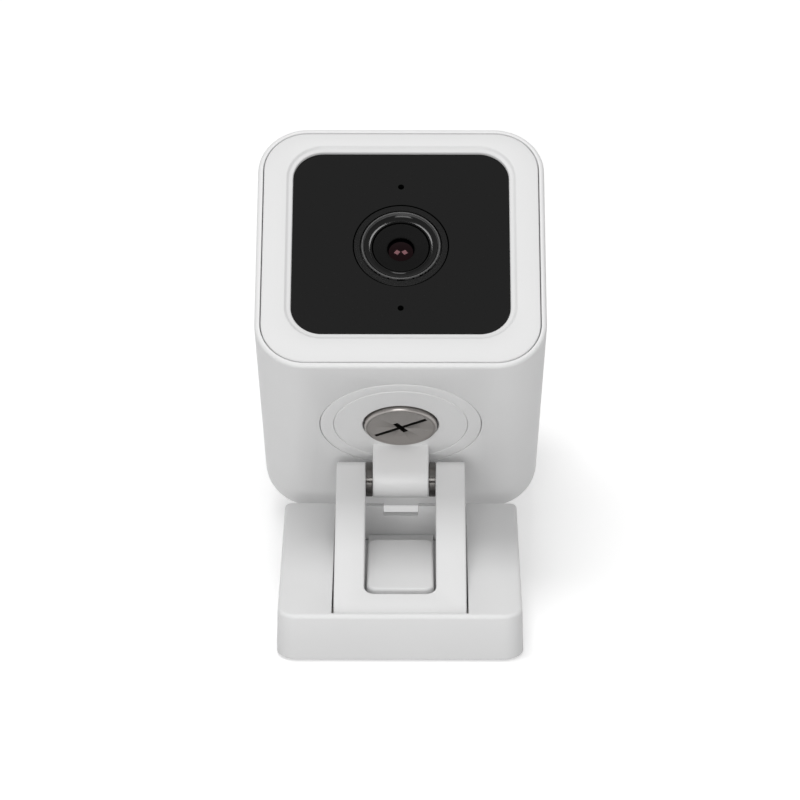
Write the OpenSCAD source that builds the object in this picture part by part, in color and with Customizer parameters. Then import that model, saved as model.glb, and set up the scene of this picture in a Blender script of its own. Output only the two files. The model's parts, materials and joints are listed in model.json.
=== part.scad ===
// Compact cube security camera on a folding desk stand.
// Frame: origin at the centre of the base's underside, +Z up, the camera looks towards -Y.
// The head is drawn in its own frame: origin where the swivel axis meets the underside,
// Y towards the back of the head, Z from the underside to the top.

/* [Head] */
// Width of the head
head_w = 51.5; // [44:0.5:64]
// Height of the head, underside to top
head_h = 50; // [44:0.5:62]
// Depth of the head, front plane to back
head_d = 53.5; // [48:0.5:66]
// Radius of the four long edges
head_corner_r = 9; // [5:0.5:12]
// Radius around the back face
head_back_r = 3; // [1:0.5:4]
// How much each side draws in from front to back
head_taper = 0.5; // [0:0.1:1]
// Wall of the head shell
shell_wall = 1.6; // [1.2:0.1:2.2]
// Thickness of the head's back wall
back_wall = 3; // [2.6:0.1:4]
// Width of the shell's front lip beside the bezel
lip_w = 1.1; // [0.8:0.1:2]
// Swivel axis to front plane
axis_to_front = 20.6; // [18:0.1:24]

/* [Front] */
// Thickness of the front bezel
bezel_t = 2.6; // [2.2:0.1:3.5]
// Width of the dark window
win_w = 38.8; // [34:0.1:41]
// Height of the dark window
win_h = 38; // [34:0.1:39]
// Corner radius of the dark window
win_r = 5.5; // [2:0.5:8]
// Height of the window's centre above the underside
win_z = 26; // [24:0.1:28]
// Depth of the window's face behind the front plane
win_sink = 0.9; // [0.5:0.1:1.2]
// Thickness of the window
win_t = 1.6; // [1:0.1:1.6]
// Height of the lens axis above the underside
lens_z = 25.6; // [22:0.1:28]
// Outer radius of the lens surround
surround_r = 8.4; // [7.8:0.1:9.5]
// Radius where the surround's cone starts
cone_r = 6.9; // [6.4:0.1:7.2]
// Radius of the lens barrel
barrel_r = 5; // [4.5:0.1:5.4]
// Radius of the front lens
front_lens_r = 3.1; // [2.6:0.1:3.6]
// Distance of the two pinholes from the lens axis
pinhole_up = 12.4; // [11.5:0.1:13]
// Distance of the lower pinhole from the lens axis
pinhole_down = 13; // [11.5:0.1:13.2]
// Radius of the pinholes
pinhole_r = 0.55; // [0.4:0.05:0.8]

/* [Swivel and neck] */
// Width of the retaining ring
ring_w = 2.5; // [2:0.1:4]
// Radius of the turntable where it shows
table_r = 12; // [10:0.1:12.8]
// Thickness of the turntable
table_t = 3.2; // [3:0.1:4]
// Swivel axis to neck pivot, measured towards the back of the head
neck_set = 10.6; // [10.4:0.1:12]
// Underside of the head to neck pivot
neck_rise = 5.3; // [4.8:0.1:6.5]
// Width of the neck tab
tab_w = 10.1; // [8:0.1:11]
// Radius of the neck's knuckle
knuckle_r = 3.3; // [2.8:0.1:3.4]
// Radius of the mounting screw's head
screw_head_r = 6.65; // [6:0.05:6.7]
// Radius of the mounting screw's shank
screw_r = 3.1; // [2.5:0.05:3.15]
// How far the screw's head stands below the turntable
screw_proud = 1; // [0.3:0.05:1.2]

/* [Arm] */
// Distance between the arm's two pivots
arm_len = 35; // [29:0.5:35.5]
// Width of the arm
arm_w = 23.2; // [21:0.1:25]
// Thickness of each washer between the tab and an arm's leg
washer_t = 1.25; // [1:0.05:2]
// Thickness of the arm
arm_t = 6.3; // [5.2:0.1:6.4]
// Lower pivot to the edge of the gap
gap_start = 3.9; // [3.5:0.1:6]
// Angle of the arm above the base
arm_angle = 19.7; // [9:0.1:80]
// Angle of the camera's view above the horizontal
head_pitch = 54; // [0:0.5:70]

/* [Base] */
// Width of the base
base_w = 43; // [40:0.5:60]
// Depth of the base
base_d = 45.6; // [45:0.1:60]
// Height of the base
base_h = 8.8; // [8.6:0.1:12]
// Radius of the base's two front corners
base_r = 3.6; // [2:0.1:5]
// Radius of the base's two back corners
base_back_r = 1.5; // [1.3:0.1:3]
// Outer wall of the base cover
base_wall = 1.2; // [1:0.1:1.4]
// Top wall of the base cover
base_top = 1.6; // [1.2:0.1:2]
// Thickness of the lip in front of the arm
front_lip = 1.3; // [1.1:0.1:1.6]
// Thickness of the lip behind the neck
back_lip = 2; // [1.5:0.1:3]
// Front of the base to the arm's lower pivot
pivot_in = 4.7; // [4.7:0.1:6]
// Height of the arm's lower pivot
pivot_z = 5.3; // [5.2:0.1:6]
// Thickness of the steel base plate
plate_t = 1.5; // [1:0.1:1.5]
// Thickness of the rubber foot
foot_t = 0.4; // [0.4:0.1:0.5]

/* [Fits] */
// Gap at a seam between two fixed pieces
seam = 0.15; // [0.05:0.05:0.2]
// Gap beside a sliding or turning face
side_gap = 0.3; // [0.2:0.05:0.35]
// Radial clearance of a running pin
run = 0.05; // [0.02:0.01:0.08]
// Gap between the faces of a washer and a turning piece
face_gap = 0.05; // [0.03:0.01:0.1]
// Radius of the hinge pins
pin_r = 1.5; // [1.2:0.05:1.6]

/* [Back face] */
// Height of the charging inlet's centre above the underside
usb_z = 8.6; // [8:0.1:10]
// Width of the inlet's recess
usb_w = 11; // [10:0.1:12]
// Height of the inlet's recess
usb_h = 6.4; // [6:0.1:7]
// Height of the rubber flap's centre above the underside
flap_z = 18; // [17.5:0.1:19]
// Width of the rubber flap
flap_w = 18; // [17:0.1:20]
// Height of the rubber flap
flap_h = 7; // [6.5:0.1:7.5]
// Thickness of the rubber flap
flap_t = 1.1; // [1:0.1:1.2]
// Travel of the setup button
button_travel = 0.6; // [0.4:0.05:0.7]
// Height of the loudspeaker's centre above the underside
speaker_z = 33; // [32:0.1:34]
// Radius of the loudspeaker
speaker_r = 9; // [7:0.1:9.5]

/* [Hidden] */
$fn = 64;
hull_fn = 32;
white = "whitesmoke";
steel = "silver";
eps = 0.01;

// Stand
pivot_y = -base_d / 2 + pivot_in;
arm_r = arm_t / 2;
arm_tip = [0, pivot_y + arm_len * cos(arm_angle), pivot_z + arm_len * sin(arm_angle)];
arm_gap = tab_w + 2 * washer_t;
floor_z = foot_t + plate_t;
groove_half = arm_w / 2 + side_gap;
groove_front = -base_d / 2 + front_lip;
groove_back = base_d / 2 - back_lip;
groove_wall = 1.3;
cover_z = 0.25;
plate_in = base_wall + seam;
pad_half = arm_gap / 2 - 0.4;
pad_front = pivot_y + gap_start + 1.9;
pad_to_knuckle = 6.25;
pad_back = pivot_y + arm_len - knuckle_r - pad_to_knuckle;
pad_top = base_h;
shelf_half = pad_half;
shelf_top = 3;
pad_wall = 1;
notch_w = 6.3;
notch_h = 2;
boss_r = 1.9;
boss_in = 3.4;
stud_r = 1;
lower_pin_half = groove_half + groove_wall - 0.1;
upper_pin_half = arm_w / 2 - 0.8;
washer_r = knuckle_r - 0.15;

// Head
front_y = -axis_to_front;
back_y = front_y + head_d;
inner_w = head_w - 2 * shell_wall;
inner_r = head_corner_r - shell_wall;
bezel_w = head_w - 2 * lip_w;
bezel_h = head_h - 2 * lip_w;
bezel_r = head_corner_r - lip_w;
bezel_back = front_y + bezel_t;
win_front = front_y + win_sink;
win_back = win_front + win_t;
win_flange = 1.2;
ring_t = 1.3;
ring_r = table_r + ring_w;
ring_in_r = table_r + seam;
flange_r = table_r + 1.2;
flange_t = 1.6;
spring_t = 0.5;
pocket_top = table_t + spring_t + 0.3;
table_boss_r = ring_r + 2.2;
table_boss_top = pocket_top + 1.4;
screw_head_t = 2.2;
screw_end = table_boss_top + 6;
insert_r = 5;
insert_top = table_boss_top + 5;
holder_front = bezel_back + 4.2;
holder_w = 17;
holder_d = 8;
barrel_front = front_y + 3.4;
barrel_back = holder_front + 5.2;
filter_y = barrel_back + 0.9;
filter_travel = 4.6;
sensor_y = holder_front + holder_d - 0.9;
board_y = holder_front + holder_d + seam;
board_t = 1;
led_board_y = bezel_back + 2.2;
chassis_y = board_y + board_t + 3;
chassis_t = 1.6;
main_y = chassis_y + chassis_t + 2.2;
main_w = 40;
main_h = 34;
main_z = head_h / 2 + 0.9;
sink_y = main_y + board_t + 2.2;
socket_y = back_y - back_wall;
flap_y = back_y - flap_t;
flap_hinge_z = flap_z - flap_h / 2 + flap_t / 2;
button_x = -5.6;
button_r = 1.4;
card_x = 2.8;
card_w = 11.5;
card_slot_h = 1.3;
chassis_boss_x = 17;
chassis_boss_z = 14;
chassis_boss_r = 2;
usb_body_w = 7.6;
usb_body_h = 2.8;
slot_angle = -33;
slot_len = 10.9;
slot_w = 0.9;
slot_depth = 1.1;
hole_pitch = 2.2;
hole_r = 0.6;
led_x = 13;
led_z = 6.5;
press_gap = 0.02;

// Places whatever follows in the arm's frame: origin at the lower pivot, Y along the arm.
module in_arm() {
    translate([0, pivot_y, pivot_z]) rotate([arm_angle, 0, 0]) children();
}

// Places whatever follows in the head's frame.
module in_head() {
    translate(arm_tip) rotate([-head_pitch, 0, 0]) translate([0, -neck_set, neck_rise]) children();
}

// A rod along X, centred on the YZ origin, from -half to half.
module cross_rod(radius, half) {
    rotate([0, 90, 0]) cylinder(r = radius, h = 2 * half, center = true);
}

// A ring along X on both sides, from near to far.
module side_rings(outer, inner, near, far) {
    for (side = [-1, 1]) translate([side * (near + far) / 2, 0, 0]) difference() {
        cross_rod(outer, (far - near) / 2);
        cross_rod(inner, far - near);
    }
}

// A rod along Y from y0 to y1.
module deep_rod(radius, y0, y1) {
    translate([0, y1, 0]) rotate([90, 0, 0]) cylinder(r = radius, h = y1 - y0);
}

// A flat outline with round corners, centred.
module round_rect(w, h, r) {
    offset(r = r, $fn = 48) square([w - 2 * r, h - 2 * r], center = true);
}

// A round-cornered slab standing in the XZ plane, from y0 to y1, centred at height z.
module upright_slab(w, h, r, y0, y1, z) {
    translate([0, y1, z]) rotate([90, 0, 0]) linear_extrude(y1 - y0) round_rect(w, h, r);
}

// A box given by its centre in X and Z and its two Y faces.
module block(x, z, w, h, y0, y1) {
    translate([x - w / 2, y0, z - h / 2]) cube([w, y1 - y0, h]);
}

// One long-edge corner of the head at its back end, with the edge round the back face.
module back_corner() {
    flat_r = head_corner_r - head_back_r;
    rotate([90, 0, 0]) rotate_extrude($fn = hull_fn) intersection() {
        translate([flat_r, head_back_r]) circle(head_back_r, $fn = hull_fn);
        square([head_corner_r, head_back_r]);
    }
}

// The head's closed outer form: round long edges, a slight taper and a round back edge.
module head_form() {
    x = head_w / 2 - head_corner_r;
    hull() for (side = [-1, 1], top = [0, 1]) {
        z = head_corner_r + top * (head_h - 2 * head_corner_r);
        translate([side * x, front_y + 0.5, z]) rotate([90, 0, 0])
            cylinder(r = head_corner_r, h = 0.5, $fn = hull_fn);
        translate([side * (x - head_taper), back_y, z - top * head_taper]) back_corner();
    }
}

// The base's outline: round front corners, and tighter ones at the back.
module base_outline() {
    round_rect(base_w, base_d, base_r);
    translate([0, base_d / 4]) round_rect(base_w, base_d / 2, base_back_r);
}

module base_cover() {
    color(white) difference() {
        translate([0, 0, cover_z]) linear_extrude(base_h - cover_z) base_outline();
        difference() {
            translate([0, 0, -eps]) linear_extrude(base_h - base_top + eps)
                round_rect(base_w - 2 * base_wall, base_d - 2 * base_wall, base_r - base_wall);
            translate([-groove_half - groove_wall, -base_d / 2, floor_z])
                cube([2 * (groove_half + groove_wall), base_d, base_h]);
            for (sx = [-1, 1], sy = [-1, 1])
                translate([sx * (base_w / 2 - boss_in), sy * (base_d / 2 - boss_in), floor_z])
                    cylinder(r = boss_r, h = base_h);
        }
        translate([-groove_half, groove_front, -1])
            cube([2 * groove_half, groove_back - groove_front, base_h + 2]);
        translate([-notch_w / 2, groove_back - 1, base_h - notch_h])
            cube([notch_w, back_lip + 2, notch_h + 1]);
        for (sx = [-1, 1], sy = [-1, 1])
            translate([sx * (base_w / 2 - boss_in), sy * (base_d / 2 - boss_in), 0])
                cylinder(r = stud_r, h = base_h - base_top);
        translate([0, pivot_y, pivot_z]) cross_rod(pin_r, lower_pin_half);
    }
}

module base_plate() {
    color(steel) difference() {
        translate([0, 0, foot_t]) linear_extrude(plate_t - seam / 3)
            round_rect(base_w - 2 * plate_in, base_d - 2 * plate_in, base_r - plate_in);
        for (sx = [-1, 1], sy = [-1, 1])
            translate([sx * (base_w / 2 - boss_in), sy * (base_d / 2 - boss_in), 0]) {
                cylinder(r = stud_r + 0.1, h = floor_z + 1);
                cylinder(r = 2 * stud_r + 0.1, h = foot_t + 0.7);
            }
    }
}

module base_weights() {
    near = groove_half + groove_wall + 0.1;
    far = base_w / 2 - base_wall - 0.1;
    color("dimgray") for (side = [-1, 1]) difference() {
        translate([side > 0 ? near : -far, -base_d / 2 + base_wall + 0.8, floor_z])
            cube([far - near, base_d - 2 * base_wall - 1.6, base_h - base_top - floor_z - 0.1]);
        for (sy = [-1, 1])
            translate([side * (base_w / 2 - boss_in), sy * (base_d / 2 - boss_in), 0])
                cylinder(r = boss_r + 0.1, h = base_h);
        for (sy = [-1, 1])
            translate([side * base_w / 2 - boss_in, sy * (base_d / 2) - boss_in, 0])
                cube([2 * boss_in, 2 * boss_in, base_h]);
    }
}

module rest_pad() {
    color(white) difference() {
        union() {
            translate([0, (pad_front + pad_back) / 2, floor_z]) linear_extrude(pad_top - floor_z)
                round_rect(2 * pad_half, pad_back - pad_front, 1.8);
            translate([-shelf_half, pad_back - 1.9, floor_z])
                cube([2 * shelf_half, groove_back - seam - pad_back + 1.9, shelf_top - floor_z]);
        }
        translate([-pad_half + pad_wall, pad_front + pad_wall, floor_z - 1])
            cube([2 * (pad_half - pad_wall), pad_back - pad_front - 2 * pad_wall,
                pad_top - floor_z - pad_wall + 1]);
    }
}

module pad_weight() {
    clear = pad_wall + 0.1;
    color("dimgray") translate([-pad_half + clear, pad_front + clear, floor_z])
        cube([2 * (pad_half - clear), pad_back - pad_front - 2 * clear, pad_top - floor_z - clear]);
}

module foot_pad() {
    inset = plate_in + 1;
    color("darkgray") linear_extrude(foot_t)
        round_rect(base_w - 2 * inset, base_d - 2 * inset, base_r - plate_in);
}

module base_screws() {
    color(steel) for (sx = [-1, 1], sy = [-1, 1])
        translate([sx * (base_w / 2 - boss_in), sy * (base_d / 2 - boss_in), foot_t]) {
            cylinder(r = 2 * stud_r, h = 0.6);
            cylinder(r = stud_r, h = 5);
        }
}

module lower_hinge_pin() {
    color(steel) translate([0, pivot_y, pivot_z]) cross_rod(pin_r, lower_pin_half);
}

module lower_hinge_washers() {
    color(steel) translate([0, pivot_y, pivot_z])
        side_rings(pin_r + 1.1, pin_r + run, arm_w / 2 + face_gap, groove_half);
}

module stand_arm() {
    color(white) in_arm() difference() {
        union() {
            cross_rod(arm_r, arm_w / 2);
            translate([0, arm_len, 0]) cross_rod(arm_r, arm_w / 2);
            translate([-arm_w / 2, 0, -arm_r]) cube([arm_w, arm_len, arm_t]);
        }
        translate([0, gap_start + arm_len, -arm_t]) linear_extrude(2 * arm_t)
            round_rect(arm_gap, 2 * arm_len, 1.8);
        cross_rod(pin_r + run, arm_w);
        translate([0, arm_len, 0]) cross_rod(pin_r + press_gap, upper_pin_half + press_gap);
    }
}

module upper_hinge_pin() {
    color(steel) translate(arm_tip) cross_rod(pin_r, upper_pin_half);
}

module upper_hinge_washers() {
    color(steel) translate(arm_tip)
        side_rings(washer_r, pin_r + run, tab_w / 2 + face_gap, arm_gap / 2);
}

// Side outline of the tab between turntable and knuckle, in the head's Y and Z.
module tab_outline() {
    front = neck_set - knuckle_r;
    root = sqrt(table_r * table_r - tab_w * tab_w / 4) - 0.15;
    polygon([[front, 0.5], [root, 0.5], [root, -side_gap], [root + 1, -side_gap - 1],
        [neck_set + knuckle_r, -neck_rise + 1.5], [neck_set + knuckle_r, -neck_rise], [front, -neck_rise]]);
    translate([neck_set, -neck_rise]) circle(knuckle_r);
}

module neck() {
    color(white) in_head() difference() {
        union() {
            cylinder(r = table_r, h = table_t);
            translate([0, 0, table_t - flange_t]) cylinder(r = flange_r, h = flange_t);
            rotate([90, 0, 90]) translate([0, 0, -tab_w / 2]) linear_extrude(tab_w) tab_outline();
        }
        translate([0, 0, -1]) cylinder(r = screw_head_r + 0.2, h = screw_head_t - screw_proud + 1.1);
        cylinder(r = screw_r + side_gap, h = table_t + 1);
        translate([0, neck_set, -neck_rise]) cross_rod(pin_r + run, tab_w);
    }
}

// A recess in the screw's head, centred, to the slot's depth.
module screw_recess(length, width) {
    translate([-length / 2, -width / 2, -screw_proud - 1]) cube([length, width, 1 + slot_depth]);
}

module mount_screw() {
    color(steel) in_head() difference() {
        union() {
            translate([0, 0, -screw_proud]) cylinder(r = screw_head_r, h = screw_head_t);
            translate([0, 0, -screw_proud]) cylinder(r = screw_r, h = screw_end + screw_proud);
        }
        rotate([0, 0, slot_angle]) {
            screw_recess(slot_len, slot_w);
            screw_recess(1.2 * slot_w, slot_len / 3);
        }
    }
}

module swivel_ring() {
    color(white) in_head() difference() {
        cylinder(r = ring_r, h = ring_t);
        translate([0, 0, -1]) cylinder(r = ring_in_r, h = ring_t + 2);
    }
}

module swivel_spring() {
    color(steel) in_head() translate([0, 0, table_t + 0.25]) difference() {
        cylinder(r = table_r - 0.5, h = spring_t);
        translate([0, 0, -1]) cylinder(r = table_r - 3.5, h = spring_t + 2);
    }
}

module thread_insert() {
    color("goldenrod") in_head() translate([0, 0, pocket_top + 0.2]) difference() {
        cylinder(r = insert_r, h = insert_top - pocket_top - 0.2);
        translate([0, 0, -1]) cylinder(r = screw_r + run, h = insert_top);
    }
}

module head_shell() {
    color(white) in_head() difference() {
        head_form();
        difference() {
            upright_slab(inner_w, head_h - 2 * shell_wall, inner_r, bezel_back + 1, socket_y, head_h / 2);
            cylinder(r = table_boss_r, h = table_boss_top);
            cylinder(r = insert_r + 1.6, h = insert_top);
            block(0, usb_z, usb_w + 3, usb_h + 3, socket_y - 5.2, back_y);
            for (sx = [-1, 1], sz = [-1, 1])
                translate([sx * chassis_boss_x, 0, head_h / 2 + sz * chassis_boss_z])
                    deep_rod(chassis_boss_r, chassis_y + chassis_t + 0.1, back_y);
        }
        upright_slab(bezel_w + 2 * seam, bezel_h + 2 * seam, bezel_r + seam, front_y - 1,
            bezel_back + seam, head_h / 2);
        upright_slab(inner_w, head_h - 2 * shell_wall, inner_r, front_y, bezel_back + 2, head_h / 2);
        translate([0, 0, -1]) cylinder(r = ring_r + seam / 3, h = ring_t + 1);
        translate([0, 0, -1]) cylinder(r = flange_r + side_gap, h = pocket_top + 1);
        cylinder(r = insert_r, h = insert_top + 1);
        block(0, usb_z, usb_w, usb_h, socket_y - 0.5, back_y + 1);
        block(0, usb_z, usb_body_w + 0.2, usb_body_h + 0.2, socket_y - 6, back_y);
        block(0, flap_z, flap_w + 2 * side_gap, flap_h + 2 * side_gap, flap_y - side_gap, back_y + 1);
        translate([button_x, 0, flap_z]) deep_rod(button_r + 0.15, socket_y - 2, back_y);
        block(card_x, flap_z, card_w, card_slot_h, socket_y - 2, back_y);
        for (ring = [0 : 3], k = [0 : max(0, 6 * ring - 1)])
            translate([0, 0, speaker_z]) rotate([0, 60 * k / max(1, ring), 0])
                translate([hole_pitch * ring, 0, 0]) deep_rod(hole_r, socket_y - 1, back_y + 1);
        for (sx = [-1, 1], sz = [-1, 1])
            translate([sx * chassis_boss_x, 0, head_h / 2 + sz * chassis_boss_z])
                deep_rod(stud_r, chassis_y, back_y - back_wall - 2);
    }
}

module front_bezel() {
    color(white) in_head() difference() {
        upright_slab(bezel_w, bezel_h, bezel_r, front_y, bezel_back, head_h / 2);
        upright_slab(win_w, win_h, win_r, front_y - 1, bezel_back + 1, win_z);
        upright_slab(win_w + 2 * win_flange + 0.2, win_h + 2 * win_flange + 0.2, win_r + win_flange + 0.1,
            win_front, bezel_back + 1, win_z);
    }
}

// The window's outline with the flange that sits behind the bezel, from y0 to y1.
module window_slab(y0, y1) {
    upright_slab(win_w + 2 * win_flange, win_h + 2 * win_flange, win_r + win_flange, y0, y1, win_z);
}

module front_window() {
    color("black") in_head() difference() {
        window_slab(win_front, win_back);
        translate([0, 0, lens_z]) deep_rod(surround_r + 0.2, win_front - 1, win_back + 1);
        for (z = [lens_z + pinhole_up, lens_z - pinhole_down])
            translate([0, 0, z]) deep_rod(pinhole_r, win_front - 1, win_back + 1);
    }
}

module window_gasket() {
    color("dimgray") in_head() difference() {
        window_slab(bezel_back, bezel_back + 0.8);
        upright_slab(win_w - 1, win_h - 1, win_r, bezel_back - 1, bezel_back + 2, win_z);
    }
}

// Places a turned piece on the lens axis, with its profile's height running towards the back.
module on_lens_axis(y) {
    in_head() translate([0, y, lens_z]) rotate([-90, 0, 0]) children();
}

module lens_surround() {
    depth = 2.9;
    color("black") on_lens_axis(win_front) rotate_extrude()
        polygon([[surround_r, 0], [surround_r, depth], [barrel_r + 0.2, depth], [barrel_r + 0.2, 2.3],
            [cone_r, 0]]);
}

module lens_barrel() {
    bore = front_lens_r + 0.05;
    color("black") on_lens_axis(barrel_front) difference() {
        cylinder(r = barrel_r, h = barrel_back - barrel_front);
        translate([0, 0, -1]) cylinder(r = front_lens_r - 0.6, h = 2);
        translate([0, 0, 0.6]) cylinder(r = bore, h = barrel_back - barrel_front);
    }
}

// A lens with both faces bowed outwards, on the lens axis.
module lens(r, thickness, y) {
    sag = 0.25 * thickness;
    ball = (r * r + sag * sag) / (2 * sag);
    on_lens_axis(y) intersection() {
        cylinder(r = r, h = thickness);
        translate([0, 0, ball]) sphere(ball, $fn = 96);
        translate([0, 0, thickness - ball]) sphere(ball, $fn = 96);
    }
}

module front_lens() {
    color("slategray") lens(front_lens_r, 2, barrel_front + 0.65);
}

module middle_lens() {
    color("slategray") lens(front_lens_r, 1.6, barrel_front + 4.6);
}

module rear_lens() {
    color("slategray") lens(front_lens_r, 1.8, barrel_back - 1.9);
}

module lens_spacer() {
    color("black") on_lens_axis(barrel_front + 2.7) difference() {
        cylinder(r = front_lens_r, h = 1.85);
        translate([0, 0, -1]) cylinder(r = front_lens_r - 0.8, h = 4);
    }
}

module lens_holder() {
    color("black") in_head() difference() {
        block(0, lens_z, holder_w, holder_w, holder_front, holder_front + holder_d);
        translate([0, 0, lens_z]) deep_rod(barrel_r + press_gap, holder_front - 1, barrel_back + 0.05);
        block(0, lens_z, holder_w - 2.4, 7.6, barrel_back, filter_y + 1.2);
        block(0, lens_z, 9, 9, filter_y + 0.8, holder_front + holder_d + 1);
    }
}

module ir_cut_filter() {
    color("firebrick") in_head() block(-filter_travel / 2, lens_z, 9, 6.4, filter_y - 0.3, filter_y + 0.5);
}

module filter_actuator() {
    color("peru") in_head()
        block(0, lens_z + holder_w / 2 + 2.4, 8, 4.2, holder_front + 2, holder_front + 6.4);
}

module image_sensor() {
    color("darkslategray") in_head() block(0, lens_z, 7.4, 6, sensor_y, board_y - 0.05);
}

module sensor_board() {
    color("seagreen") in_head() block(0, lens_z, 24, 22, board_y, board_y + board_t);
}

module ir_leds() {
    color("lavender") in_head() for (sx = [-1, 1], sz = [-1, 1])
        translate([sx * led_x, 0, lens_z + sz * led_z]) deep_rod(1.7, led_board_y - 1.9, led_board_y - 0.02);
}

module ir_led_board() {
    color("seagreen") in_head() difference() {
        block(0, lens_z, 36, 34, led_board_y, led_board_y + board_t);
        translate([0, 0, lens_z]) deep_rod(surround_r + 0.9, led_board_y - 1, led_board_y + 3);
    }
}

module light_sensor() {
    color("khaki") in_head() block(0, lens_z + pinhole_up, 1.8, 1.6, led_board_y - 1.2, led_board_y - 0.02);
}

module status_led() {
    color("tomato") in_head()
        block(4, lens_z - pinhole_down, 1.6, 1.2, led_board_y - 0.8, led_board_y - 0.02);
}

module microphone() {
    color("goldenrod") in_head()
        block(0, lens_z - pinhole_down, 3.4, 2.6, led_board_y - 1.1, led_board_y - 0.02);
}

module chassis() {
    color("gray") in_head() difference() {
        union() {
            upright_slab(inner_w - 4, head_h - 2 * shell_wall - 4, inner_r - 2, chassis_y,
                chassis_y + chassis_t, head_h / 2);
            for (sx = [-1, 1])
                block(sx * 21, lens_z + 2, 1.6, 24, led_board_y + board_t + 0.1, chassis_y + 0.5);
        }
        block(0, 5, 2 * table_boss_r, 2 * (table_boss_top + 4), chassis_y - 1, chassis_y + 4);
        block(0, lens_z, 12, 6, chassis_y - 1, chassis_y + 4);
        for (sx = [-1, 1], sz = [-1, 1])
            translate([sx * chassis_boss_x, 0, head_h / 2 + sz * chassis_boss_z])
                deep_rod(stud_r + 0.1, chassis_y - 1, chassis_y + 4);
    }
}

module chassis_screws() {
    color(steel) in_head() for (sx = [-1, 1], sz = [-1, 1])
        translate([sx * chassis_boss_x, 0, head_h / 2 + sz * chassis_boss_z]) {
            deep_rod(2 * stud_r, chassis_y - 1, chassis_y - 0.02);
            deep_rod(stud_r, chassis_y - 0.5, chassis_y + 8);
        }
}

module main_board() {
    color("seagreen") in_head() difference() {
        block(0, main_z, main_w, main_h, main_y, main_y + board_t);
        block(0, 0, 2 * table_boss_r, 2 * (table_boss_top + 6.5), main_y - 1, main_y + 3);
        for (sx = [-1, 1], sz = [-1, 1])
            translate([sx * chassis_boss_x, 0, head_h / 2 + sz * chassis_boss_z])
                deep_rod(chassis_boss_r + 0.3, main_y - 1, main_y + 3);
    }
}

module processor() {
    color("dimgray") in_head() block(0, main_z + 6, 12, 12, main_y + board_t + 0.02, main_y + board_t + 1.2);
}

module thermal_pad() {
    color("lightblue") in_head() block(0, main_z + 6, 12, 12, main_y + board_t + 1.22, sink_y - 0.02);
}

module heat_sink() {
    color("lightgray") in_head() block(0, main_z + 6, 28, 20, sink_y, sink_y + 1.2);
}

module wifi_antenna() {
    color("black") in_head()
        translate([-12, chassis_y + chassis_t + 1, head_h - shell_wall - 1.2]) cube([24, 8, 0.3]);
}

module sensor_ribbon() {
    color("chocolate") in_head() block(0, lens_z, 8, 0.3, board_y + board_t + 0.02, main_y - 0.02);
}

module loudspeaker() {
    color("black") in_head() translate([0, 0, speaker_z]) difference() {
        deep_rod(speaker_r, socket_y - 5.6, socket_y - 0.9);
        deep_rod(speaker_r - 2, socket_y - 1.6, socket_y);
    }
}

module speaker_gasket() {
    color("dimgray") in_head() translate([0, 0, speaker_z]) difference() {
        deep_rod(speaker_r, socket_y - 0.88, socket_y - 0.02);
        deep_rod(speaker_r - 1.2, socket_y - 2, socket_y + 1);
    }
}

module usb_socket() {
    color(steel) in_head() difference() {
        block(0, usb_z, usb_body_w, usb_body_h, socket_y - 5, socket_y + 0.6);
        block(0, usb_z, usb_body_w - 0.7, usb_body_h - 0.7, socket_y - 4, socket_y + 2);
    }
}

module card_socket() {
    color(steel) in_head() difference() {
        block(card_x, flap_z, card_w + 1.6, 3, socket_y - 10, socket_y - 0.3);
        block(card_x, flap_z, card_w, card_slot_h, socket_y - 9, socket_y);
    }
}

module setup_switch() {
    color("gray") in_head() block(button_x, flap_z, 3.4, 3.4, socket_y - 4.6, socket_y - 1.5);
}

module setup_button() {
    color(white) in_head()
        translate([button_x, 0, flap_z]) deep_rod(button_r, socket_y - 0.8, flap_y - side_gap - 0.2);
}

module port_flap() {
    color("lightgray") in_head() {
        difference() {
            upright_slab(flap_w, flap_h, 1, flap_y, back_y, flap_z);
            block(0, flap_hinge_z - flap_t, flap_w + 2, 2 * flap_t, flap_y - 1, back_y + 1);
        }
        translate([0, (flap_y + back_y) / 2, flap_hinge_z])
            cross_rod(flap_t / 2 - press_gap / 2, flap_w / 2 - 0.5);
    }
}

base_cover();
base_plate();
base_weights();
rest_pad();
pad_weight();
foot_pad();
base_screws();
lower_hinge_pin();
lower_hinge_washers();
stand_arm();
upper_hinge_pin();
upper_hinge_washers();
neck();
mount_screw();
swivel_ring();
swivel_spring();
thread_insert();
head_shell();
front_bezel();
front_window();
window_gasket();
lens_surround();
lens_barrel();
front_lens();
middle_lens();
rear_lens();
lens_spacer();
lens_holder();
ir_cut_filter();
filter_actuator();
image_sensor();
sensor_board();
ir_leds();
ir_led_board();
light_sensor();
status_led();
microphone();
chassis();
chassis_screws();
main_board();
processor();
thermal_pad();
heat_sink();
wifi_antenna();
sensor_ribbon();
loudspeaker();
speaker_gasket();
usb_socket();
card_socket();
setup_switch();
setup_button();
port_flap();
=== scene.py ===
"""Looks of a cube security camera on a folding stand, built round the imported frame.

Lengths are millimetres until a mesh is made, and each piece is drawn in the frame of the part it belongs to:
the stand's own frame, the arm's (origin at the lower hinge, Y along the arm) or the head's (origin where the
swivel axis meets the underside, Y towards the back of the head, Z from underside to top).
"""
import json
import math

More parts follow.
